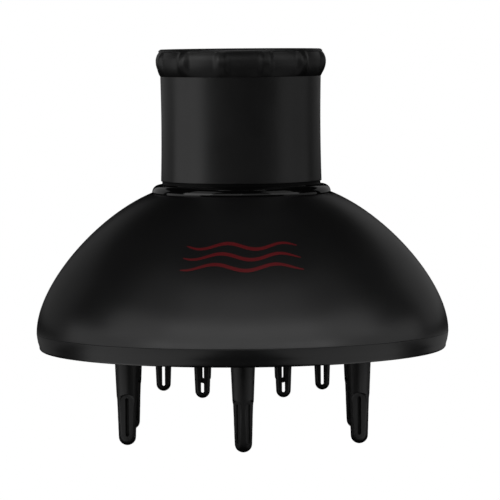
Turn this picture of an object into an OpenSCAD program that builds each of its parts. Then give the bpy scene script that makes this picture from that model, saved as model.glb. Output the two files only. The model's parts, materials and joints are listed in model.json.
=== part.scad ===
// Bowl diffuser for a hand-held hair dryer.
// The origin is on the axis, level with the tips of the long fingers, and +Z runs up the neck.

/* [Bell] */
// Largest radius of the bell, at its lower edge
bell_r = 80; // [79:0.25:82]
// Height of the seam between the bell and the rim band
seam_z = 41.5; // [41:0.25:42.5]
// Height at which the bell's curve meets the neck bead
shoulder_z = 95.1; // [94.5:0.1:95.5]
// Radius at which the bell's curve meets the neck bead
shoulder_r = 35.2; // [35.1:0.05:36]
// Wall thickness of the bell
bell_wall = 2.2; // [1.8:0.1:2.4]

/* [Neck] */
// Radius of the air duct through the neck
duct_r = 22; // [20:0.5:22.5]
// Outer radius of the bell's spigot, on which the swivel ring turns
spigot_r = 25; // [24.9:0.05:25.05]
// Height of the top of the bell's spigot
spigot_top = 117.4; // [117:0.2:118]
// Radius of the glossy bead's round section
bead_r = 2.9; // [2.7:0.05:3]
// Radius of the circle on which the bead's section is centred
bead_ring_r = 31.75; // [31.65:0.05:31.9]

/* [Coupling] */
// Height of the sleeve's lower edge
sleeve_bottom = 99.7; // [99.6:0.05:100.2]
// Outer radius of the sleeve at its waist
sleeve_r = 30.85; // [30.5:0.05:31]
// Height of the top of the grip ring, and of the whole diffuser
top_z = 150.7; // [150:0.1:152]
// Largest radius of the grip ring, across its ridges
grip_r = 33.6; // [33.3:0.1:34]
// Number of ridges round the grip ring
ridge_count = 12; // [8:1:14]
// Width of one ridge across its top, in degrees
ridge_width = 4; // [3:0.5:6]
// Width of the sloping wall on each side of a ridge, in degrees
ridge_wall = 3.5; // [2.5:0.5:4.5]
// Radius of the liner's lips, which hold the dryer's nozzle
socket_r = 23.5; // [22.6:0.1:24]

/* [Fingers] */
// Radius of the circle of long fingers
long_ring_r = 51.2; // [49:0.2:53]
// Radius of the circle of short fingers
short_ring_r = 30.9; // [30:0.1:32.5]
// Height of the tips of the short fingers
short_tip_z = 18; // [12:0.2:22]
// Radius of a long finger's round tip
long_tip_r = 3.35; // [3.1:0.05:3.5]
// Radius of a short finger's round tip
short_tip_r = 2.8; // [2.7:0.05:3]

/* [Plate] */
// Height of the plate's flat margin
margin_z = 38; // [37.8:0.1:38.4]
// Height of the underside of the dish at its centre
dish_z = 49; // [47:0.5:50]
// Thickness of the plate
plate_t = 2; // [1.6:0.1:2.2]
// Radius of an air hole
air_hole_r = 2.2; // [1.8:0.1:2.4]

/* [Hidden] */
$fn = 96;
// Overlap that keeps faces from coinciding where one shape cuts another
eps = 0.05;
finger_count = 6;
finger_pitch = 360 / finger_count;

// Bell: a cubic curve from the shoulder down to the seam, and a step for the bead at the top
shoulder_reach = 23.86;
shoulder_slope = 22.8;
rim_reach = 17.6;
bead_seat_z = 93;
bead_z = bead_seat_z + 2.45;
bead_seat_r = shoulder_r - 0.2;
curve_steps = 28;
seam_chamfer = 0.25;
duct_flare = 2.5;

// Swivel joint on the spigot
swivel_gap = 0.08;
swivel_bore_r = spigot_r + swivel_gap;
swivel_outer_r = 27.85;
swivel_bottom = 98.55;
swivel_top = 113.9;
flange_r = 30.7;
flange_top = sleeve_bottom - 0.05;
seal_section_r = 0.9;
seal_z = 105;
seal_groove_h = 2.1;
clip_bottom = 114.2;
clip_t = 1.2;
clip_inner_r = spigot_r - 1;
clip_outer_r = 26.6;
clip_play = 0.05;
clip_gap_angle = 34;

// Sleeve, liner and grip ring
sleeve_bore_r = swivel_outer_r + 0.1;
sleeve_flare = 0.00068;
waist_z = 121;
grip_bottom = 140.3;
grip_seat_r = 29.6;
grip_lip_z = 148.6;
grip_mouth_r = 24.6;
grip_arc_r = 8;
grip_corner_r = 5.3;
grip_arc_z = top_z - 4.6;
pocket_bottom = 140.4;
pocket_top = 150.2;
pocket_depth = 1.15;
first_ridge = 17.4;
liner_bottom = 119;
liner_wall_r = 25.4;
lip_h = 4;
lip_count = 3;

// Rim band and plate
band_proud = 0.06;
band_bottom = 34.6;
tongue_h = 3.5;
ledge_r = 74;
margin_r = 76.9;
margin_inner_r = 69;
dish_edge_r = 70;
dish_rise = dish_z - margin_z - 0.25;
dish_sphere_r = (dish_edge_r * dish_edge_r + dish_rise * dish_rise) / (2 * dish_rise);
dish_centre_z = dish_z - dish_sphere_r;

// Fingers: a cone below a collar that snaps through a boss on the plate, under a flange
long_taper = 0.047;
short_taper = 0.046;
finger_flange_t = 1.4;
finger_flange_r = 6.4;
boss_r = 7.4;
boss_h = 5.6;
snap_h = 0.8;
snap_r = 0.25;
finger_wall = 1.25;
long_boss_z = 41.3;
short_boss_z = 45.3;
short_boss_r = 6.8;
short_flange_r = 5.8;
long_slot_bottom = 3.5;
long_window_angles = [60, 180, 300];
short_slot_bottom = 1.8;

// Baffle inside the bell
baffle_r = 27;
baffle_z = 66;
baffle_rise = 7;
baffle_t = 1.8;
baffle_post_r = 3;
baffle_post_ring_r = 17;
baffle_post_count = 3;
screw_r = 1.2;
screw_head_r = 2.6;
screw_head_h = 1.6;
screw_length = 12;
post_boss_z = dish_z - 1.6;
screw_z = post_boss_z + 0.2;
post_z = dish_z + plate_t + 0.8;

// ---- Curves ----

function arc(cx, cy, r, from, to, steps) =
    [for (i = [0:steps]) let (a = from + (to - from) * i / steps) [cx + r * cos(a), cy + r * sin(a)]];

function bell_controls() = [
    [shoulder_r, shoulder_z],
    [shoulder_r + shoulder_reach * cos(shoulder_slope), shoulder_z - shoulder_reach * sin(shoulder_slope)],
    [bell_r, seam_z + rim_reach],
    [bell_r, seam_z]
];

function cubic(p, t) =
    pow(1 - t, 3) * p[0] + 3 * pow(1 - t, 2) * t * p[1] + 3 * (1 - t) * t * t * p[2] + pow(t, 3) * p[3];

function cubic_slope(p, t) =
    3 * pow(1 - t, 2) * (p[1] - p[0]) + 6 * (1 - t) * t * (p[2] - p[1]) + 3 * t * t * (p[3] - p[2]);

// The bell's curve moved inwards by a distance, square to the curve
function bell_curve(inset) = [
    for (i = [0:curve_steps])
        let (t = i / curve_steps, d = cubic_slope(bell_controls(), t))
            cubic(bell_controls(), t) + inset * [d[1], -d[0]] / norm(d)
];

function reversed(list) = [for (i = [len(list) - 1:-1:0]) list[i]];

// Radius of the sleeve's outside at a height
function sleeve_outer(z) = sleeve_r + sleeve_flare * pow(z - waist_z, 2);

// ---- Housing ----

module ring(r_out, r_in, h) {
    difference() {
        cylinder(r = r_out, h = h);
        translate([0, 0, -eps]) cylinder(r = r_in, h = h + 2 * eps);
    }
}

module cylinder_at(r, bottom, top) {
    translate([0, 0, bottom]) cylinder(r = r, h = top - bottom);
}

module bell_shell() {
    ceiling_z = bead_seat_z - bell_wall;
    inner = [for (p = bell_curve(bell_wall)) if (p[1] < ceiling_z && p[1] > seam_z + 0.5) p];
    color([0.05, 0.05, 0.055]) difference() {
        rotate_extrude() polygon(concat(
            [[duct_r, spigot_top], [spigot_r - 0.5, spigot_top], [spigot_r, spigot_top - 0.5]],
            [[spigot_r, bead_seat_z], [bead_seat_r, bead_seat_z], [bead_seat_r, shoulder_z]],
            [for (p = bell_curve(0)) if (p[1] > seam_z + 0.5) p],
            [[bell_r, seam_z + seam_chamfer], [bell_r - seam_chamfer, seam_z]],
            [[bell_r - bell_wall, seam_z]],
            reversed(inner),
            [[bead_seat_r + 3, ceiling_z]],
            arc(duct_r + duct_flare, ceiling_z + duct_flare, duct_flare, 270, 180, 8)
        ));
        translate([0, 0, clip_bottom - clip_play])
            ring(spigot_r + 1, clip_inner_r - clip_play, clip_t + 2 * clip_play);
    }
}

// Glossy roll round the foot of the neck, seated in the step at the top of the bell
module neck_bead() {
    top = bead_z + bead_r - 0.35;
    foot = bead_ring_r + sqrt(bead_r * bead_r - pow(bead_z - bead_seat_z, 2));
    foot_angle = -asin((bead_z - bead_seat_z) / bead_r);
    color([0.02, 0.02, 0.02]) rotate_extrude() polygon(concat(
        [[spigot_r + 0.2, bead_seat_z], [foot, bead_seat_z]],
        arc(bead_ring_r, bead_z, bead_r, foot_angle + 4, 118, 16),
        [[bead_ring_r - 2.2, top - 0.2], [spigot_r + 0.2, top - 0.2]]
    ));
}

// Band below the seam, with a tongue that snaps inside the bell and a ledge that carries the plate
module rim_band() {
    r = bell_r + band_proud;
    tongue_r = bell_r - bell_wall - 0.1;
    hook_z = margin_z + plate_t + 0.1;
    tongue_top = seam_z + tongue_h;
    color([0.05, 0.05, 0.055]) rotate_extrude() polygon(concat(
        [[tongue_r - 0.4, tongue_top], [tongue_r, seam_z + 0.5], [tongue_r, seam_z]],
        [[r - seam_chamfer, seam_z], [r, seam_z - seam_chamfer]],
        [[r - 0.25, seam_z - 2.1], [r - 0.55, seam_z - 3.7], [r - 1, seam_z - 5.1]],
        arc(r - 2.3, band_bottom + 1.3, 1.3, -20, -160, 7),
        [[ledge_r + 1, margin_z - 1.5], [ledge_r, margin_z - 1], [ledge_r, margin_z], [margin_r, margin_z]],
        [[margin_r, hook_z], [margin_r - 0.5, hook_z + 0.4], [margin_r - 0.6, tongue_top]]
    ));
}

module on_circle(count, r, start = 0) {
    for (i = [0:count - 1]) rotate([0, 0, start + 360 * i / count]) translate([r, 0, 0]) children();
}

module dish_shell(r) {
    intersection() {
        cylinder(r = r, h = 2 * dish_z);
        difference() {
            translate([0, 0, dish_centre_z]) sphere(r = dish_sphere_r + plate_t, $fn = 180);
            translate([0, 0, dish_centre_z]) sphere(r = dish_sphere_r, $fn = 180);
        }
    }
}

// Rings of air holes that clear the fingers and posts: [how many, radius of the ring, first angle]
function air_rings() = concat(
    [[1, 0, 0], [6, 8.5, 30], [6, 17, 30], [3, 17, 60], [12, 24.2, 15], [6, 31.5, 30], [18, 40.6, 0]],
    [for (a = [-12, 0, 12]) [finger_count, long_ring_r, a]],
    [[36, 63, 5]]
);

module front_plate() {
    color([0.06, 0.06, 0.065]) difference() {
        union() {
            dish_shell(dish_edge_r);
            translate([0, 0, margin_z]) ring(margin_r - 0.1, margin_inner_r, plate_t);
            on_circle(finger_count, long_ring_r, 30)
                translate([0, 0, long_boss_z]) cylinder(r = boss_r, h = boss_h);
            on_circle(finger_count, short_ring_r)
                translate([0, 0, short_boss_z]) cylinder(r = short_boss_r, h = boss_h);
            on_circle(baffle_post_count, baffle_post_ring_r)
                cylinder_at(baffle_post_r + 1, post_boss_z, post_z);
        }
        on_circle(finger_count, long_ring_r, 30)
            translate([0, 0, long_boss_z - 1]) cylinder(r = long_collar_r(), h = boss_h + 2);
        on_circle(finger_count, short_ring_r)
            translate([0, 0, short_boss_z - 1]) cylinder(r = short_collar_r(), h = boss_h + 2);
        on_circle(baffle_post_count, baffle_post_ring_r) {
            cylinder_at(screw_r + 0.2, post_boss_z - 1, post_z + 1);
            cylinder_at(screw_head_r + 0.3, post_boss_z - 1, screw_z + screw_head_h);
        }
        for (row = air_rings())
            on_circle(row[0], row[1], row[2])
                translate([0, 0, margin_z]) cylinder(r = air_hole_r, h = 20, $fn = 12);
    }
}

// Shallow cone that spreads the air, on posts that stand on the plate
module air_baffle() {
    color([0.08, 0.08, 0.085]) difference() {
        union() {
            rotate_extrude() polygon([
                [0, baffle_z + baffle_rise],
                [baffle_r, baffle_z],
                [baffle_r, baffle_z - baffle_t],
                [0, baffle_z + baffle_rise - baffle_t]
            ]);
            on_circle(baffle_post_count, baffle_post_ring_r)
                cylinder_at(baffle_post_r, post_z, baffle_z + 1.6);
        }
        on_circle(baffle_post_count, baffle_post_ring_r)
            cylinder_at(screw_r + 0.05, post_z - 1, screw_z + screw_length + 1);
    }
}

module screw() {
    cross_l = 3.4;
    cross_w = 0.9;
    difference() {
        union() {
            cylinder(r = screw_head_r, h = screw_head_h);
            cylinder(r = screw_r, h = screw_length);
        }
        translate([-cross_w / 2, -cross_l / 2, -eps]) cube([cross_w, cross_l, cross_w]);
        translate([-cross_l / 2, -cross_w / 2, -eps]) cube([cross_l, cross_w, cross_w]);
    }
}

module baffle_screws() {
    color([0.55, 0.56, 0.58]) on_circle(baffle_post_count, baffle_post_ring_r)
        translate([0, 0, screw_z]) screw();
}

// ---- Fingers ----

function long_collar_r() = long_tip_r + long_taper * (long_boss_z - long_tip_r);
function short_collar_r() = short_tip_r + short_taper * (short_boss_z - short_tip_z - short_tip_r);

// Flat with an arched top, cut into the finger's side, and the slot down its middle
module side_window(flat_x, half_width, top, slot_w, slot_bottom, slot_top) {
    arch_z = top - half_width;
    translate([flat_x, -half_width, -1]) cube([6, 2 * half_width, arch_z + 1]);
    translate([flat_x, 0, arch_z]) rotate([0, 90, 0]) cylinder(r = half_width, h = 6);
    translate([0, -slot_w / 2, slot_bottom + slot_w / 2])
        cube([8, slot_w, slot_top - slot_bottom - slot_w]);
    for (z = [slot_bottom + slot_w / 2, slot_top - slot_w / 2])
        translate([0, 0, z]) rotate([0, 90, 0]) cylinder(r = slot_w / 2, h = 8);
}

// One finger, with its tip at the origin and a window at each of the angles
module finger(tip_r, collar_z, collar_r, flange_r, window_angles, window_top, slot_w, slot_bottom) {
    flange_z = collar_z + boss_h;
    core_r = tip_r * 0.52;
    difference() {
        rotate_extrude() polygon(concat(
            arc(0, tip_r, tip_r, -90, 0, 9),
            [[collar_r - snap_r, collar_z - snap_h - 1], [collar_r + snap_r, collar_z - snap_h]],
            [[collar_r + snap_r, collar_z - eps], [collar_r, collar_z - eps], [collar_r, flange_z]],
            [[flange_r, flange_z], [flange_r, flange_z + finger_flange_t]],
            [[collar_r - finger_wall, flange_z + finger_flange_t], [collar_r - finger_wall, collar_z]],
            [[core_r, window_top - 1], [core_r, 2.6], [0, 2.2]]
        ));
        for (a = window_angles)
            rotate([0, 0, a])
                side_window(tip_r * 0.78, tip_r * 0.82, window_top, slot_w, slot_bottom, window_top - 1.4);
    }
}

module long_finger(i) {
    color([0.05, 0.05, 0.055]) rotate([0, 0, finger_pitch * (i - 1) - 90]) translate([long_ring_r, 0, 0])
        finger(
            long_tip_r, long_boss_z, long_collar_r(), finger_flange_r,
            long_window_angles, 19.7, 1.3, long_slot_bottom
        );
}

// The windows of every short finger face straight forward and back, so its slot can be seen through
module short_finger(i) {
    turn = finger_pitch * (i - 1);
    color([0.05, 0.05, 0.055]) rotate([0, 0, turn]) translate([short_ring_r, 0, short_tip_z])
        finger(
            short_tip_r, short_boss_z - short_tip_z, short_collar_r(), short_flange_r,
            [90 - turn, 270 - turn], 15, 1.1, short_slot_bottom
        );
}

// ---- Swivel ----

// Hard ring that turns on the bell's spigot and carries the sleeve
module swivel_ring() {
    groove_r = swivel_bore_r + 2 * seal_section_r;
    color([0.1, 0.1, 0.1]) difference() {
        union() {
            cylinder_at(flange_r, swivel_bottom, flange_top);
            cylinder_at(swivel_outer_r, flange_top - eps, swivel_top);
        }
        cylinder_at(swivel_bore_r, swivel_bottom - 1, swivel_top + 1);
        cylinder_at(groove_r, seal_z - seal_groove_h / 2, seal_z + seal_groove_h / 2);
        for (z = [102, 108.5, 111.5])
            translate([0, 0, z]) ring(swivel_outer_r + 1, swivel_outer_r - 0.4, 0.8);
    }
}

module seal_ring() {
    color([0.12, 0.06, 0.05]) translate([0, 0, seal_z])
        rotate_extrude() translate([swivel_bore_r + seal_section_r - 0.01, 0])
            circle(r = seal_section_r - 0.02, $fn = 32);
}

// Spring clip in the spigot's groove, which keeps the swivel ring on
module retaining_clip() {
    color([0.6, 0.6, 0.62]) translate([0, 0, clip_bottom])
        rotate_extrude(angle = 360 - clip_gap_angle)
            translate([clip_inner_r, 0]) square([clip_outer_r - clip_inner_r, clip_t]);
}

// ---- Coupling ----

module adapter_sleeve() {
    steps = 14;
    low = sleeve_bottom + 0.6;
    color([0.11, 0.11, 0.11]) rotate_extrude() polygon(concat(
        [[sleeve_bore_r, sleeve_bottom], [sleeve_outer(low) - 0.35, sleeve_bottom], [sleeve_outer(low), low]],
        [for (i = [1:steps]) let (z = low + (grip_bottom - low) * i / steps) [sleeve_outer(z), z]],
        [[grip_seat_r, grip_bottom], [grip_seat_r, grip_lip_z], [sleeve_bore_r, grip_lip_z]]
    ));
}

// Pocket between two ridges, seen from above: a wedge whose sides are the ridges' sloping walls
module pocket_plan() {
    half = 180 / ridge_count - ridge_width / 2;
    floor_r = grip_r - pocket_depth;
    high = grip_r * [cos(half), sin(half)];
    low = floor_r * [cos(half - ridge_wall), sin(half - ridge_wall)];
    wall = high - low;
    tip = [low[0] - low[1] * wall[0] / wall[1], 0];
    outer = high + wall;
    polygon([tip, outer, [grip_r + 3, outer[1]], [grip_r + 3, -outer[1]], [outer[0], -outer[1]]]);
}

module grip_ring() {
    floor_r = grip_r - pocket_depth;
    low_angle = -asin((grip_arc_z - grip_bottom) / grip_arc_r);
    top_angle = asin((top_z - grip_arc_z) / grip_corner_r);
    color([0.13, 0.13, 0.13]) difference() {
        rotate_extrude() polygon(concat(
            [[grip_mouth_r, grip_lip_z], [grip_seat_r + 0.02, grip_lip_z], [grip_seat_r + 0.02, grip_bottom]],
            arc(grip_r - grip_arc_r, grip_arc_z, grip_arc_r, low_angle, 0, 9),
            arc(grip_r - grip_corner_r, grip_arc_z, grip_corner_r, 6, top_angle, 8),
            [[grip_mouth_r + 0.6, top_z], [grip_mouth_r, top_z - 0.6]]
        ));
        intersection() {
            rotate_extrude() polygon([
                [floor_r - 1.2, pocket_bottom],
                [floor_r - 0.5, pocket_bottom + 1.6],
                [floor_r - 0.05, pocket_bottom + 3.6],
                [floor_r, pocket_bottom + 5.7],
                [floor_r - 0.15, pocket_top - 2.2],
                [floor_r - 0.6, pocket_top - 0.8],
                [floor_r - 1.2, pocket_top],
                [grip_r + 2, pocket_top],
                [grip_r + 2, pocket_bottom]
            ]);
            translate([0, 0, pocket_bottom - 1]) linear_extrude(pocket_top - pocket_bottom + 2)
                for (i = [0:ridge_count - 1])
                    rotate(first_ridge + (i + 0.5) * 360 / ridge_count) pocket_plan();
        }
    }
}

// Soft liner with lips that grip the dryer's nozzle
module grip_liner() {
    lip_pitch = (grip_lip_z - liner_bottom - lip_h) / (lip_count - 1);
    color([0.15, 0.15, 0.15]) {
        translate([0, 0, liner_bottom]) ring(sleeve_bore_r, liner_wall_r, grip_lip_z - liner_bottom);
        for (i = [0:lip_count - 1])
            translate([0, 0, liner_bottom + lip_pitch * i]) ring(sleeve_bore_r - 1, socket_r, lip_h);
    }
}

bell_shell();
neck_bead();
rim_band();
front_plate();
air_baffle();
baffle_screws();
for (i = [1:finger_count]) {
    long_finger(i);
    short_finger(i);
}
swivel_ring();
seal_ring();
retaining_clip();
adapter_sleeve();
grip_ring();
grip_liner();
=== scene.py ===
import json
import math

import bmesh
import bpy
from mathutils import Euler, Matrix, Vector


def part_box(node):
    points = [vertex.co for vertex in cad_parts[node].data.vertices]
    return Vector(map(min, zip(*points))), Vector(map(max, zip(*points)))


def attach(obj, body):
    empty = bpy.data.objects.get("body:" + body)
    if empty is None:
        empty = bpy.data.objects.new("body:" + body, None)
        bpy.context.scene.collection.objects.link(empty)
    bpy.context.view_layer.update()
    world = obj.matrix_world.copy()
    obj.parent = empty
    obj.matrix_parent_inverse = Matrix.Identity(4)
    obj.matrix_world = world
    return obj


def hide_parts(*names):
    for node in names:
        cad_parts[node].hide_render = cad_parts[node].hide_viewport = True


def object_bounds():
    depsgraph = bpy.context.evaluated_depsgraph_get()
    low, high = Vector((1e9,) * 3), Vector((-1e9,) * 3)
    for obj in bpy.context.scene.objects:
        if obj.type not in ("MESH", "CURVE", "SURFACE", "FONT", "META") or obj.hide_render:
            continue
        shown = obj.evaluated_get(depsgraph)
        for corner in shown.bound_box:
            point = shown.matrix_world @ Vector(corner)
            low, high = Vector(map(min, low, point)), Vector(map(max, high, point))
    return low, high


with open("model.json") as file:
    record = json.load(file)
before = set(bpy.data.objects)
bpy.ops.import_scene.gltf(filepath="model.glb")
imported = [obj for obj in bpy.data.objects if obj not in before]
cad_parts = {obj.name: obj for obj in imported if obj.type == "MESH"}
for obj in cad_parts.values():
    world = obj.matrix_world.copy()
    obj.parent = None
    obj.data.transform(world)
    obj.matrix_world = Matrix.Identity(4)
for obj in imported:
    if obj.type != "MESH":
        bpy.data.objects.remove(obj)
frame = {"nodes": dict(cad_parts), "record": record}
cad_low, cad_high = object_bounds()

MM = 0.001
TURN = 2 * math.pi


# ---------------------------------------------------------------- sizes

# From the frame

bell_low, bell_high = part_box("bell_shell")
bead_low, bead_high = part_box("neck_bead")
band_low, band_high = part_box("rim_band")
sleeve_low, sleeve_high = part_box("adapter_sleeve")
grip_low, grip_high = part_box("grip_ring")
plate_low, plate_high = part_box("front_plate")
clip_low, clip_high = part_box("retaining_clip")
BELL_R = bell_high.x
SEAM_Z = bell_low.z
SPIGOT_TOP = bell_high.z

# The CAD model's own values, where a node's box doesn't give them
SPIGOT_R = 25.0 * MM
DUCT_R = 22.0 * MM
BELL_WALL = 2.2 * MM
BEAD_R = 2.9 * MM
BEAD_Z = bead_high.z - BEAD_R
BEAD_RING_R = bead_high.x - BEAD_R
SHOULDER_R = BEAD_RING_R + 3.45 * MM
SHOULDER_Z = BEAD_Z - 0.35 * MM
SHOULDER_REACH = 23.86 * MM
SHOULDER_SLOPE = math.radians(22.8)
RIM_REACH = 17.6 * MM
SLEEVE_BORE_R = 27.95 * MM
GRIP_SEAT_R = 29.6 * MM
FINGER_COUNT = 6
FINGER_WALL = 1.25 * MM
FLANGE_T = 1.4 * MM
BOSS_H = 5.6 * MM
# The ridge on a finger's collar that snaps past the boss: how far it stands out, and its height
SNAP_R = 0.25 * MM
SNAP_H = 0.8 * MM
# Length of a finger's collar from the top of its tapered shaft to the boss
COLLAR_H = 1.8 * MM

# Fillets of edges that are sharp or chamfered in the CAD model
CRISP = 0.1 * MM
EASED = 0.2 * MM
SEAM_FILLET = 0.25 * MM


# ---------------------------------------------------------------- mesh helpers

def smoothstep(low, high, value):
    t = min(1.0, max(0.0, (value - low) / (high - low)))
    return t * t * (3 - 2 * t)


def between(low, high, steps):
    """Even steps from low to high, without low itself."""
    return [low + (high - low) * i / steps for i in range(1, steps + 1)]


def arc(centre, radius, start, stop, steps):
    """Points on an arc of an (r, z) profile, with the angles in degrees."""
    points = []
    for i in range(steps + 1):
        angle = math.radians(start + (stop - start) * i / steps)
        points.append((centre[0] + radius * math.cos(angle), centre[1] + radius * math.sin(angle)))
    return points


def filleted(corners, steps=5):
    """Closed profile from corners (r, z, fillet radius). A radius of 0 keeps the corner as it is."""
    longest_reach = 0.49
    points = []
    count = len(corners)
    for i, (r, z, radius) in enumerate(corners):
        here = Vector((r, z))
        if radius == 0:
            points.append((r, z))
            continue
        before = Vector(corners[i - 1][:2]) - here
        after = Vector(corners[(i + 1) % count][:2]) - here
        half = before.angle(after) / 2
        reach = min(radius / math.tan(half), longest_reach * before.length, longest_reach * after.length)
        start = here + before.normalized() * reach
        stop = here + after.normalized() * reach
        for step in range(steps + 1):
            t = step / steps
            point = (1 - t) ** 2 * start + 2 * t * (1 - t) * here + t * t * stop
            points.append((point.x, point.y))
    return points


def new_object(name, mesh):
    obj = bpy.data.objects.new(name, mesh)
    bpy.context.scene.collection.objects.link(obj)
    return obj


def new_mesh(name, vertices, faces, sharp_degrees=40):
    """Mesh with its faces turned outwards, smooth but for its sharp edges."""
    mesh = bpy.data.meshes.new(name)
    mesh.from_pydata(vertices, [], faces)
    mesh.validate()
    work = bmesh.new()
    work.from_mesh(mesh)
    bmesh.ops.recalc_face_normals(work, faces=work.faces)
    work.to_mesh(mesh)
    work.free()
    mesh.shade_smooth()
    mesh.set_sharp_from_angle(angle=math.radians(sharp_degrees))
    return mesh


def mesh_object(name, vertices, faces, sharp_degrees=40):
    return new_object(name, new_mesh(name, vertices, faces, sharp_degrees))


def lathe(name, profile, segments=256, shape=None, sharp_degrees=40):
    """Solid of revolution of a closed (r, z) profile. shape(r, z, angle) may give a point another radius."""
    vertices = []
    for i in range(segments):
        angle = TURN * i / segments
        for r, z in profile:
            radius = shape(r, z, angle) if shape else r
            vertices.append((radius * math.cos(angle), radius * math.sin(angle), z))
    count = len(profile)
    faces = []
    for i in range(segments):
        here = i * count
        there = ((i + 1) % segments) * count
        for j in range(count):
            k = (j + 1) % count
            faces.append((here + j, there + j, there + k, here + k))
    return mesh_object(name, vertices, faces, sharp_degrees)


# ---------------------------------------------------------------- materials

# Range that the values of a noise mostly keep to
NOISE_LOW = 0.3
NOISE_HIGH = 0.7


def new_material(name):
    material = bpy.data.materials.new(name)
    material.use_nodes = True
    nodes = material.node_tree.nodes
    return material, nodes, material.node_tree.links, nodes["Principled BSDF"]


def noise(nodes, links, coordinates, scale, detail=4.0):
    node = nodes.new("ShaderNodeTexNoise")
    node.inputs["Scale"].default_value = scale
    node.inputs["Detail"].default_value = detail
    node.inputs["Roughness"].default_value = 0.55
    links.new(coordinates, node.inputs["Vector"])
    return node.outputs["Fac"]


def spread_over(nodes, links, value, low, high):
    """Maps a noise to the range from low to high."""
    node = nodes.new("ShaderNodeMapRange")
    node.inputs["From Min"].default_value = NOISE_LOW
    node.inputs["From Max"].default_value = NOISE_HIGH
    node.inputs["To Min"].default_value = low
    node.inputs["To Max"].default_value = high
    links.new(value, node.inputs["Value"])
    return node.outputs["Result"]


def blend_colours(nodes, links, factor, first, second):
    node = nodes.new("ShaderNodeMix")
    node.data_type = "RGBA"
    node.inputs["A"].default_value = (*first, 1)
    node.inputs["B"].default_value = (*second, 1)
    links.new(factor, node.inputs["Factor"])
    return node.outputs["Result"]


def bump(nodes, links, height, distance, strength, normal=None):
    node = nodes.new("ShaderNodeBump")
    node.inputs["Distance"].default_value = distance
    node.inputs["Strength"].default_value = strength
    links.new(height, node.inputs["Height"])
    if normal:
        links.new(normal, node.inputs["Normal"])
    return node.outputs["Normal"]


def moulded(name, dark, light, roughness, spread, grain_scale, grain_strength, specular):
    """Moulded plastic or rubber: cloudy tone and gloss, a fine moulding grain and slow flow waves."""
    cloud_scale, wave_scale = 45, 18
    wave_depth, wave_strength = 0.2 * MM, 0.05
    grain_depth = 0.02 * MM
    material, nodes, links, shader = new_material(name)
    place = nodes.new("ShaderNodeTexCoord").outputs["Object"]
    clouds = noise(nodes, links, place, cloud_scale)
    grain = noise(nodes, links, place, grain_scale, detail=2.0)
    waves = noise(nodes, links, place, wave_scale, detail=1.0)
    gloss = spread_over(nodes, links, clouds, roughness - spread, roughness + spread)
    flow = bump(nodes, links, waves, wave_depth, wave_strength)
    shader.inputs["Specular IOR Level"].default_value = specular
    links.new(blend_colours(nodes, links, clouds, dark, light), shader.inputs["Base Color"])
    links.new(gloss, shader.inputs["Roughness"])
    links.new(bump(nodes, links, grain, grain_depth, grain_strength, flow), shader.inputs["Normal"])
    return material


def metal(name, colour, roughness):
    """Fine-grained metal with clouds of a darker tone."""
    cloud_scale, grain_scale = 400, 3000
    grain_depth, grain_strength = 0.01 * MM, 0.2
    spread = 0.08
    darker = tuple(0.8 * channel for channel in colour)
    material, nodes, links, shader = new_material(name)
    place = nodes.new("ShaderNodeTexCoord").outputs["Object"]
    clouds = noise(nodes, links, place, cloud_scale)
    grain = noise(nodes, links, place, grain_scale, detail=2.0)
    gloss = spread_over(nodes, links, grain, roughness - spread, roughness + spread)
    shader.inputs["Metallic"].default_value = 1.0
    links.new(blend_colours(nodes, links, clouds, darker, colour), shader.inputs["Base Color"])
    links.new(gloss, shader.inputs["Roughness"])
    links.new(bump(nodes, links, grain, grain_depth, grain_strength), shader.inputs["Normal"])
    return material


def grey(value):
    """Grey with a trace of blue."""
    return (value, value, value * 1.03)


# Darkest and lightest tone, roughness and its spread, scale and strength of the grain, specular level
MOULDED = {
    "bell_plastic": (grey(0.0075), grey(0.010), 0.32, 0.02, 2600, 0.10, 0.5),
    "bead_plastic": (grey(0.004), grey(0.006), 0.10, 0.02, 2600, 0.02, 0.5),
    "plate_plastic": (grey(0.010), grey(0.015), 0.42, 0.04, 2200, 0.25, 0.5),
    "finger_plastic": (grey(0.009), grey(0.012), 0.42, 0.03, 2400, 0.10, 0.5),
    # inner_plastic is black plastic given painted shade: its tone is set darker than the other plastics so
    # that the swivel ring's flange in the gap under the sleeve reads as shaded
    "inner_plastic": (grey(0.002), grey(0.003), 0.45, 0.04, 2200, 0.25, 0.12),
    "sleeve_rubber": (grey(0.008), grey(0.011), 0.33, 0.03, 2200, 0.35, 0.7),
    "grip_rubber": (grey(0.008), grey(0.011), 0.42, 0.03, 2200, 0.30, 0.62),
    "liner_rubber": (grey(0.012), grey(0.017), 0.60, 0.04, 2000, 0.35, 0.4),
    "seal_rubber": ((0.07, 0.02, 0.015), (0.10, 0.03, 0.02), 0.45, 0.04, 3000, 0.20, 0.5),
    "print_ink": ((0.10, 0.006, 0.008), (0.13, 0.008, 0.011), 0.35, 0.03, 2200, 0.10, 0.5),
}
MATERIALS = {name: moulded(name, *look) for name, look in MOULDED.items()}
MATERIALS["steel"] = metal("steel", (0.55, 0.55, 0.56), 0.3)


def finish_piece(obj, body, slot, *nodes):
    """Puts a new piece on its body in place of its CAD nodes, with its slot's material."""
    obj.data.materials.clear()
    obj.data.materials.append(MATERIALS[slot])
    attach(obj, body)
    if nodes:
        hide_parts(*nodes)


# ---------------------------------------------------------------- housing

def cubic(points, t):
    a, b, c, d = points
    u = 1 - t
    return u ** 3 * a + 3 * u * u * t * b + 3 * u * t * t * c + t ** 3 * d


def cubic_slope(points, t):
    a, b, c, d = points
    u = 1 - t
    return 3 * u * u * (b - a) + 6 * u * t * (c - b) + 3 * t * t * (d - c)


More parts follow.
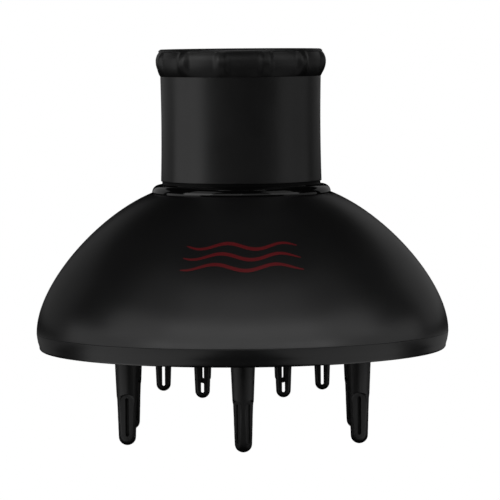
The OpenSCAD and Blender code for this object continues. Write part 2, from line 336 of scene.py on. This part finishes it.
BELL_CURVE = (
    Vector((SHOULDER_R, SHOULDER_Z)),
    Vector((SHOULDER_R + SHOULDER_REACH * math.cos(SHOULDER_SLOPE),
            SHOULDER_Z - SHOULDER_REACH * math.sin(SHOULDER_SLOPE))),
    Vector((BELL_R, SEAM_Z + RIM_REACH)),
    Vector((BELL_R, SEAM_Z)),
)


def bell_point(t, inset=0.0):
    """Point (r, z) of the bell's outside, moved inwards. t is 0 at the shoulder and 1 at the seam."""
    slope = cubic_slope(BELL_CURVE, t).normalized()
    return cubic(BELL_CURVE, t) + inset * Vector((slope.y, -slope.x))


def make_bell():
    """Shell with the spigot and the clip's groove above it."""
    steps = 56
    seat_z = bead_low.z
    seat_r = SHOULDER_R - 0.2 * MM
    ceiling_z = seat_z - BELL_WALL
    flare = 2.5 * MM
    clip_play = 0.05 * MM
    groove_depth = 1.0 * MM
    groove_r = SPIGOT_R - groove_depth - clip_play
    groove_low = clip_low.z - clip_play
    groove_high = clip_high.z + clip_play
    corners = [(DUCT_R, SPIGOT_TOP, 0.4 * MM), (SPIGOT_R, SPIGOT_TOP, 0.5 * MM)]
    corners += [(SPIGOT_R, groove_high, CRISP), (groove_r, groove_high, CRISP)]
    corners += [(groove_r, groove_low, CRISP), (SPIGOT_R, groove_low, CRISP)]
    corners += [(SPIGOT_R, seat_z, EASED), (seat_r, seat_z, EASED), (seat_r, SHOULDER_Z, 0.15 * MM)]
    for i in range(steps):
        point = bell_point(i / steps)
        corners.append((point.x, point.y, 0))
    corners += [(BELL_R, SEAM_Z + 0.2 * MM, 0), (BELL_R, SEAM_Z, SEAM_FILLET)]
    corners += [(BELL_R - BELL_WALL, SEAM_Z, EASED)]
    for i in range(steps - 1, 0, -1):
        point = bell_point(i / steps, BELL_WALL)
        if point.y < ceiling_z:
            corners.append((point.x, point.y, 0))
    corners.append((seat_r + 3 * MM, ceiling_z, 0))
    for r, z in arc((DUCT_R + flare, ceiling_z + flare), flare, 270, 180, 8):
        corners.append((r, z, 0))
    finish_piece(lathe("bell", filleted(corners)), "housing", "bell_plastic", "bell_shell")


def make_bead():
    """Round roll with a flat foot, and a flat collar inside it."""
    seat_z = bead_low.z
    inner_r = SPIGOT_R + 0.2 * MM
    foot_r = BEAD_RING_R + 1.55 * MM
    collar_r = BEAD_RING_R - 2.2 * MM
    collar_z = BEAD_Z + BEAD_R - 0.55 * MM
    foot_angle = 4 - math.degrees(math.asin((BEAD_Z - seat_z) / BEAD_R))
    top_angle = 118
    points = [(inner_r, seat_z), (foot_r, seat_z)]
    points += arc((BEAD_RING_R, BEAD_Z), BEAD_R, foot_angle, top_angle, 40)
    points += [(collar_r, collar_z), (inner_r, collar_z)]
    finish_piece(lathe("bead", points), "housing", "bead_plastic", "neck_bead")


def make_band():
    """Band with a rounded lip, a tongue inside the bell, and a ledge and a hook that hold the plate."""
    r = band_high.x
    bottom, tongue_top = band_low.z, band_high.z
    margin_r = plate_high.x + 0.1 * MM
    ledge_r, ledge_z = 74 * MM, plate_low.z
    hook_z = ledge_z + 2.1 * MM
    tongue_r = BELL_R - BELL_WALL - 0.1 * MM
    lip_r = 1.3 * MM
    lip = arc((r - 2.3 * MM, bottom + lip_r), lip_r, -20, -160, 16)
    corners = [(tongue_r - 0.4 * MM, tongue_top, EASED), (tongue_r, SEAM_Z + 0.5 * MM, 0)]
    corners += [(tongue_r, SEAM_Z, CRISP), (r, SEAM_Z, SEAM_FILLET)]
    corners += [(r - 0.25 * MM, SEAM_Z - 2.1 * MM, 0), (r - 0.55 * MM, SEAM_Z - 3.7 * MM, 0)]
    corners += [(r - 1.0 * MM, SEAM_Z - 5.1 * MM, 0)]
    corners += [(x, z, 0) for x, z in lip]
    corners += [(ledge_r + 1 * MM, ledge_z - 1.5 * MM, 0.5 * MM), (ledge_r, ledge_z - 1 * MM, 0.3 * MM)]
    corners += [(ledge_r, ledge_z, CRISP), (margin_r, ledge_z, CRISP), (margin_r, hook_z, 0)]
    corners += [(margin_r - 0.5 * MM, hook_z + 0.4 * MM, CRISP), (margin_r - 0.8 * MM, tongue_top, EASED)]
    finish_piece(lathe("band", filleted(corners)), "housing", "bell_plastic", "rim_band")


# ---------------------------------------------------------------- fingers

def finger_mesh(name, tip_r, collar_r, flange_r, top_z, windows, window_top, slot_w, slot_low):
    """Hollow finger with its tip at the origin. Each window is a flat with an arched top and a slot into the
    core, and windows holds their angles. The mesh is a grid: a row is a ring of points at one height, and a
    column runs up the finger. Each window has a sector of columns, with its slot in the middle."""
    flat_x = 0.78 * tip_r
    half_width = 0.82 * tip_r
    core_r = 0.52 * tip_r
    core_low = min(2.6 * MM, slot_low - 0.05 * MM)
    arch_z = window_top - half_width
    window_end = window_top + 0.4 * MM
    half_slot = slot_w / 2
    slot_high = window_top - 1.4 * MM
    round_low, round_high = slot_low + half_slot, slot_high - half_slot
    flange_z = top_z - FLANGE_T
    collar_z = flange_z - BOSS_H
    shaft_top = collar_z - COLLAR_H
    bore_r = collar_r - FINGER_WALL

    count = len(windows)
    half_sector = math.pi / count
    slot_columns, side_columns = 4, 45 // count
    sector = 2 * side_columns + slot_columns
    columns = count * sector

    def cone(z):
        """Radius at a height, before the windows are cut."""
        if z < tip_r:
            return math.sqrt(max(0.0, tip_r ** 2 - (tip_r - z) ** 2))
        slope = (collar_r - SNAP_R - tip_r) / (shaft_top - tip_r)
        return tip_r + slope * (z - tip_r)

    def slot_half(z):
        """Half the slot's width at a height. Above and below the slot it only spaces the columns."""
        narrowest = 0.15 * half_slot
        away = max(round_low - z, z - round_high, 0.0)
        if away >= half_slot:
            return max(narrowest, min(half_slot, 0.5 * (away - half_slot)))
        return max(narrowest, math.sqrt(half_slot ** 2 - away ** 2))

    def column_angle(j, half_angle):
        """Angle of a column from the middle of its window, where the slot's half width takes half_angle."""
        k = j % sector
        if k < side_columns:
            return -half_sector + (half_sector - half_angle) * k / side_columns
        if k <= side_columns + slot_columns:
            return half_angle * (2 * (k - side_columns) / slot_columns - 1)
        return half_angle + (half_sector - half_angle) * (k - side_columns - slot_columns) / side_columns

    def outer_radius(z, angle):
        """Radius of the outside at an angle from the middle of the window, with the window's flat cut."""
        edge = 0.12 * MM
        r = cone(z)
        flat = flat_x / math.cos(angle)
        side = abs(flat_x * math.tan(angle))
        arch = half_width - math.hypot(side, max(0.0, z - arch_z))
        cut = smoothstep(-edge, edge, arch)
        return r - cut * max(0.0, r - flat)

    def ring(z, radius_of, half_angle):
        points = []
        for j in range(columns):
            local = column_angle(j, half_angle)
            angle = windows[j // sector] + local
            r = radius_of(z, local)
            points.append((r * math.cos(angle), r * math.sin(angle), z))
        return points

    # Heights of the outside's rows: tip, lower end of the slot, its straight part, arch, upper end, shaft
    tip_angles = (9, 18, 28, 38, 48, 58, 68, 79)
    cap_angles = (0, 25, 45, 65, 90)
    rows = [tip_r * (1 - math.cos(math.radians(a))) for a in tip_angles]
    rows = [z for z in rows if z < slot_low - 0.1 * MM]
    caps = [half_slot * (1 - math.cos(math.radians(a))) for a in cap_angles]
    rows += [slot_low + c for c in caps]
    rows += between(round_low, arch_z, 10)[:-1]
    if arch_z < round_high:
        rows += [arch_z] + between(arch_z, round_high, 6)
    rows += [slot_high - c for c in reversed(caps[:-1])]
    rows += between(slot_high, window_end, 9)
    rows += between(window_end, shaft_top, 5)

    vertices = [(0, 0, 0)]
    rings = []

    def add(points):
        rings.append(len(vertices))
        vertices.extend(points)

    for z in rows:
        add(ring(z, outer_radius, math.atan2(slot_half(z), flat_x)))
    bevel = 0.3 * MM
    collar = [(collar_r + SNAP_R, collar_z - SNAP_H), (collar_r + SNAP_R, collar_z - CRISP)]
    collar += [(collar_r, collar_z), (collar_r, flange_z), (flange_r - EASED, flange_z)]
    collar += [(flange_r, flange_z + EASED), (flange_r, top_z - bevel), (flange_r - bevel, top_z)]
    collar += [(bore_r + bevel, top_z), (bore_r, top_z - bevel), (bore_r, collar_z)]
    neutral = math.atan2(half_slot, flat_x)
    for r, z in collar:
        add(ring(z, lambda _, __, r=r: r, neutral))
    # The core's rows run down again at the heights of the outside's rows
    inner_rows = [z for z in rows if slot_low <= z <= window_top - 1.0 * MM]
    widest_sine = 0.9
    first_inner = len(rings)
    for z in reversed(inner_rows):
        add(ring(z, lambda _, __: core_r, math.asin(min(widest_sine, slot_half(z) / core_r))))
    add(ring(core_low, lambda _, __: core_r, neutral))
    vertices.append((0, 0, core_low - 0.4 * MM))

    first_slot = min(i for i, z in enumerate(rows) if z >= slot_low)
    last_slot = max(i for i, z in enumerate(rows) if z <= slot_high)
    inner_of = {z: first_inner + i for i, z in enumerate(reversed(inner_rows))}

    def in_slot(j):
        return side_columns <= j % sector < side_columns + slot_columns

    faces = []
    for j in range(columns):
        k = (j + 1) % columns
        faces.append((0, rings[0] + k, rings[0] + j))
        for i in range(len(rings) - 1):
            through_shell = first_slot <= i < last_slot
            through_core = inner_of[rows[last_slot]] <= i < inner_of[rows[first_slot]]
            if in_slot(j) and (through_shell or through_core):
                continue
            faces.append((rings[i] + j, rings[i] + k, rings[i + 1] + k, rings[i + 1] + j))
        faces.append((rings[-1] + j, rings[-1] + k, len(vertices) - 1))
    # Walls of the slots, from the outside to the core
    for window in range(count):
        left = window * sector + side_columns
        right = left + slot_columns
        for i in range(first_slot, last_slot):
            a, b = rings[i], rings[i + 1]
            c, d = rings[inner_of[rows[i]]], rings[inner_of[rows[i + 1]]]
            faces.append((a + left, b + left, d + left, c + left))
            faces.append((b + right, a + right, c + right, d + right))
        for i, flip in ((first_slot, False), (last_slot, True)):
            a, c = rings[i], rings[inner_of[rows[i]]]
            for j in range(left, right):
                quad = (a + j + 1, a + j, c + j, c + j + 1)
                faces.append(tuple(reversed(quad)) if flip else quad)
    return new_mesh(name, vertices, faces, sharp_degrees=50)


def make_fingers(kind, tip_r, taper, window_top, slot_w, slot_low):
    """A long finger has three windows: one faces the axis, and two stand 60 degrees to each side of outwards.
    The two windows of a short finger face straight forward and back, so its slot can be seen through."""
    for i in range(1, FINGER_COUNT + 1):
        node = f"{kind}_finger_{i}"
        low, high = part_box(node)
        centre = (low + high) / 2
        height = high.z - low.z
        collar_r = tip_r + taper * (height - FLANGE_T - BOSS_H - tip_r)
        flange_r = (high.x - low.x) / 2
        outward = math.atan2(centre.y, centre.x)
        if kind == "long":
            windows = [outward + math.pi / 3 + TURN * k / 3 for k in range(3)]
        else:
            windows = [math.pi / 2, -math.pi / 2]
        name = f"{node}_piece"
        mesh = finger_mesh(name, tip_r, collar_r, flange_r, height, windows, window_top, slot_w, slot_low)
        mesh.transform(Matrix.Translation((centre.x, centre.y, low.z)))
        finish_piece(new_object(name, mesh), "housing", "finger_plastic", node)


# ---------------------------------------------------------------- coupling

def make_sleeve():
    """Tube with a slight waist, and a step at the top that the grip ring sits on."""
    waist_z, waist_r, flare = 121 * MM, 30.85 * MM, 0.68
    bottom, top = sleeve_low.z, sleeve_high.z
    seat_z = grip_low.z
    steps = 40

    def outer(z):
        return waist_r + flare * (z - waist_z) ** 2

    start = bottom + 0.7 * MM
    side = [start] + between(start, seat_z, steps)
    corners = [(SLEEVE_BORE_R, bottom, 0.3 * MM), (outer(bottom), bottom, 0.45 * MM)]
    corners += [(outer(z), z, 0) for z in side]
    corners += [(GRIP_SEAT_R, seat_z, CRISP), (GRIP_SEAT_R, top, CRISP), (SLEEVE_BORE_R, top, CRISP)]
    sleeve = lathe("sleeve", filleted(corners), segments=192)
    finish_piece(sleeve, "coupling", "sleeve_rubber", "adapter_sleeve")


def make_grip():
    """Ring with a round outside, narrow ridges up it, and a shallow pocket between each pair of ridges."""
    # In degrees: width of a ridge, width of the wall on each side of it, rounding of its edge, first ridge
    ridge_width, wall_width, ridge_edge, first_ridge = 4.0, 4.6, 0.6, 17.4
    ridges = 12
    pitch = 360 / ridges
    outer_r = 33.6 * MM
    bottom, top = grip_low.z, grip_high.z
    seat_top, mouth_r, mouth_fillet = sleeve_high.z, 24.6 * MM, 0.6 * MM
    arc_r, corner_r = 8 * MM, 5.3 * MM
    arc_z = top - 4.6 * MM
    pocket_low, pocket_high = bottom + 0.1 * MM, top - 0.5 * MM
    pocket_edge = 0.6 * MM
    floor_r = outer_r - 1.15 * MM
    floor_dip, floor_power = 1.2 * MM, 2.6

    def pocket_floor(z):
        """Radius of a pocket's floor, which curves inwards towards both ends of the pocket."""
        if z < arc_z:
            away = (arc_z - z) / (arc_z - pocket_low)
        else:
            away = (z - arc_z) / (pocket_high - arc_z)
        return floor_r - floor_dip * away ** floor_power

    def shape(r, z, angle):
        if r < GRIP_SEAT_R + 0.2 * MM or z < pocket_low or z > pocket_high:
            return r
        around = (math.degrees(angle) - first_ridge + pitch / 2) % pitch - pitch / 2
        pocket = smoothstep(ridge_width / 2 - ridge_edge, ridge_width / 2 + wall_width, abs(around))
        span = 1 - smoothstep(pocket_high - pocket_edge, pocket_high, z)
        return r - span * pocket * max(0.0, r - pocket_floor(z))

    low_angle = -math.degrees(math.asin((arc_z - bottom) / arc_r))
    top_angle = math.degrees(math.asin((top - arc_z) / corner_r))
    corners = [(mouth_r, seat_top, CRISP), (GRIP_SEAT_R, seat_top, CRISP), (GRIP_SEAT_R, bottom, CRISP)]
    corners += [(r, z, 0) for r, z in arc((outer_r - arc_r, arc_z), arc_r, low_angle, 0, 40)]
    corners += [(r, z, 0) for r, z in arc((outer_r - corner_r, arc_z), corner_r, 2, top_angle, 30)]
    corners += [(outer_r - 3.2 * MM, top, 0), (mouth_r, top, mouth_fillet)]
    ring = lathe("grip", filleted(corners, 6), segments=720, shape=shape, sharp_degrees=60)
    finish_piece(ring, "coupling", "grip_rubber", "grip_ring")


# ---------------------------------------------------------------- ornament

def make_ornament():
    """Three plain wavy lines printed on the front of the bell."""
    lines, samples = 3, 90
    half_span = math.radians(20)
    line_gap, line_width = 4.6 * MM, 1.5 * MM
    wave_height, wave_count, wave_shift = 1.3 * MM, 2.0, 0.6
    narrowest, end_power = 0.2, 0.35
    lift, thickness = 0.02 * MM, 0.06 * MM
    centre_t = 0.45
    chords = 100
    ends = [bell_point(i / chords) for i in range(chords + 1)]
    length = sum((b - a).length for a, b in zip(ends, ends[1:]))
    vertices, faces = [], []

    def at(angle, along, out):
        point = bell_point(centre_t + along / length, -out)
        return (point.x * math.cos(angle), point.x * math.sin(angle), point.y)

    for line in range(lines):
        middle = (line - (lines - 1) / 2) * line_gap
        start = len(vertices)
        for i in range(samples + 1):
            s = i / samples
            angle = -math.pi / 2 + half_span * (2 * s - 1)
            wave = wave_height * math.sin(wave_count * TURN * s + wave_shift * line)
            half = line_width / 2 * max(narrowest, math.sin(math.pi * s) ** end_power)
            low, high = middle + wave - half, middle + wave + half
            vertices += [at(angle, low, lift), at(angle, high, lift)]
            vertices += [at(angle, high, lift + thickness), at(angle, low, lift + thickness)]
        for i in range(samples):
            a, b = start + 4 * i, start + 4 * (i + 1)
            for k in range(4):
                n = (k + 1) % 4
                faces.append((a + k, a + n, b + n, b + k))
        last = start + 4 * samples
        faces.append((start + 3, start + 2, start + 1, start))
        faces.append((last, last + 1, last + 2, last + 3))
    ornament = mesh_object("ornament", vertices, faces)
    ornament.data.materials.append(MATERIALS["print_ink"])
    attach(ornament, "housing")


# ---------------------------------------------------------------- build

make_bell()
make_bead()
make_band()
make_fingers("long", tip_r=3.35 * MM, taper=0.047, window_top=19.7 * MM, slot_w=1.3 * MM, slot_low=3.5 * MM)
make_fingers("short", tip_r=2.8 * MM, taper=0.046, window_top=15.0 * MM, slot_w=1.1 * MM, slot_low=1.8 * MM)
make_sleeve()
make_grip()
make_ornament()

# Every CAD node takes its slot's material
slots = {part["node"]: part["material_slot"] for part in frame["record"]["subparts"]}
for node, obj in frame["nodes"].items():
    obj.data.materials.clear()
    obj.data.materials.append(MATERIALS[slots[node]])


# ---------------------------------------------------------------- stage, light and camera

def make_floor():
    """A white floor that the camera sees, but that neither lights the pieces nor shows in their gloss."""
    reach = 30
    corners = [(-reach, -reach), (reach, -reach), (reach, reach), (-reach, reach)]
    floor = mesh_object("floor", [(x, y, cad_low.z) for x, y in corners], [(0, 1, 2, 3)])
    material, _, _, shader = new_material("floor_white")
    shader.inputs["Base Color"].default_value = (0.9, 0.9, 0.9, 1)
    shader.inputs["Roughness"].default_value = 0.8
    shader.inputs["Emission Color"].default_value = (1, 1, 1, 1)
    shader.inputs["Emission Strength"].default_value = 1.0
    floor.data.materials.append(material)
    floor.visible_diffuse = False
    floor.visible_glossy = False


def make_world():
    """A white world that only the camera sees."""
    world = bpy.data.worlds.new("studio")
    bpy.context.scene.world = world
    world.use_nodes = True
    background = world.node_tree.nodes["Background"]
    background.inputs["Color"].default_value = (1, 1, 1, 1)
    background.inputs["Strength"].default_value = 1.0
    rays = world.cycles_visibility
    rays.diffuse = rays.glossy = rays.transmission = rays.scatter = False


def area_light(name, place, facing, width, height, power, lit, spread=180):
    """Rectangular light that lights the objects of one collection."""
    light = bpy.data.lights.new(name, "AREA")
    light.shape = "RECTANGLE"
    light.size = width
    light.size_y = height
    light.energy = power
    light.spread = math.radians(spread)
    obj = new_object(name, light)
    obj.location = place
    obj.rotation_euler = facing.to_track_quat("-Z", "Y").to_euler()
    obj.visible_camera = False
    obj.light_linking.receiver_collection = lit


def softbox(name, azimuth, elevation, width, height, power, lit, distance=1.1, aim_z=0.08, spread=180):
    """Area light that faces a point on the axis, from an azimuth and an elevation in degrees. Azimuth 0 is at
    the camera's side, and 90 at the right of its view."""
    a, e = math.radians(azimuth), math.radians(elevation)
    out = Vector((math.sin(a) * math.cos(e), -math.cos(a) * math.cos(e), math.sin(e)))
    area_light(name, Vector((0, 0, aim_z)) + distance * out, -out, width, height, power, lit, spread)


def floor_glow(name, x, y, width, depth, power, lit):
    """Light that comes up from the white floor beside the object."""
    area_light(name, Vector((x, y, cad_low.z + MM)), Vector((0, 0, 1)), width, depth, power, lit)


def lit_set(name, members):
    """Objects that one group of lights reaches."""
    collection = bpy.data.collections.new(name)
    for obj in members:
        collection.objects.link(obj)
    return collection


NECK_PIECES = ("bead", "sleeve", "grip", "swivel_ring", "seal_ring", "retaining_clip", "grip_liner")
BELL_PIECES = ("bell", "ornament")

# Softboxes: name, azimuth, elevation, width, height, power on the housing, power on the neck
BOXES = (
    ("low_left", -60, 20, 0.78, 0.42, 0.87, 1.45),
    ("low_left_centre", -20, 20, 0.78, 0.42, 1.35, 0.55),
    ("low_right_centre", 20, 20, 0.78, 0.42, 1.35, 0.40),
    ("low_right", 60, 20, 0.78, 0.42, 0.92, 0.75),
    ("high_left", -60, 45, 0.60, 0.55, 0.20, 0.50),
    ("high_left_centre", -20, 45, 0.60, 0.55, 0.52, 0.0),
    ("high_right_centre", 20, 45, 0.60, 0.55, 0.50, 0.0),
    ("high_right", 60, 45, 0.60, 0.55, 0.20, 0.45),
    ("left", -82, 2, 1.20, 0.40, 0.90, 0.95),
    ("right", 84, 3, 1.20, 0.40, 0.78, 0.42),
    ("rear_left", -140, 15, 0.90, 0.60, 0.20, 0.50),
    ("rear_right", 144, 15, 0.90, 0.60, 0.34, 0.40),
    ("top", 180, 75, 0.60, 0.60, 0.05, 0.90),
)


def make_lights():
    """The neck, the rest of the object and the bell alone each have lights of their own."""
    pieces = [obj for obj in bpy.context.scene.objects if obj.type == "MESH" and obj.name != "floor"]
    lit_neck = lit_set("lit_neck", [obj for obj in pieces if obj.name in NECK_PIECES])
    lit_housing = lit_set("lit_housing", [obj for obj in pieces if obj.name not in NECK_PIECES])
    lit_bell = lit_set("lit_bell", [obj for obj in pieces if obj.name in BELL_PIECES])
    for name, azimuth, elevation, width, height, housing_power, neck_power in BOXES:
        softbox(f"{name}_housing", azimuth, elevation, width, height, housing_power, lit_housing)
        softbox(f"{name}_neck", azimuth, elevation, width, height, neck_power, lit_neck)

    # Low strips that light the foot of the bell, a little stronger towards the sides
    widest, weakest, rise = 45, 0.0020, 0.0004
    for azimuth in range(-widest, widest + 1, 15):
        power = weakest + rise * (azimuth / widest) ** 2
        softbox("strip", azimuth, 0, 0.13, 0.10, power, lit_bell, distance=0.42, aim_z=0.051, spread=30)

    # Glows from the floor, which reach the neck at a share of their power
    for lit, share in ((lit_housing, 1.0), (lit_neck, 0.3)):
        floor_glow("floor_left", -0.245, -0.19, 0.40, 0.32, 0.25 * share, lit)
        floor_glow("floor_right", 0.245, -0.19, 0.40, 0.32, 0.21 * share, lit)
    floor_glow("floor_rear_left", -0.32, 0.25, 0.36, 0.40, 0.06, lit_housing)
    floor_glow("floor_rear_right", 0.32, 0.25, 0.36, 0.40, 0.10, lit_housing)


def make_camera():
    """Long lens just above the level of the grip ring, aimed just right of the axis and slightly rolled."""
    axis_distance = 1.364
    height = 0.164
    aim = Vector((3.15 * MM, 0, cad_low.z + 72.7 * MM))
    roll = math.radians(-0.45)
    data = bpy.data.cameras.new("camera")
    data.lens = 253.3
    data.sensor_width = 36
    data.clip_end = 20
    camera = new_object("camera", data)
    camera.location = (0, -axis_distance, cad_low.z + height)
    camera.rotation_mode = "QUATERNION"
    look = (aim - camera.location).to_track_quat("-Z", "Y")
    camera.rotation_quaternion = look @ Euler((0, 0, roll)).to_quaternion()
    bpy.context.scene.camera = camera


make_floor()
make_world()
make_lights()
make_camera()
bpy.context.scene.view_settings.view_transform = "Standard"
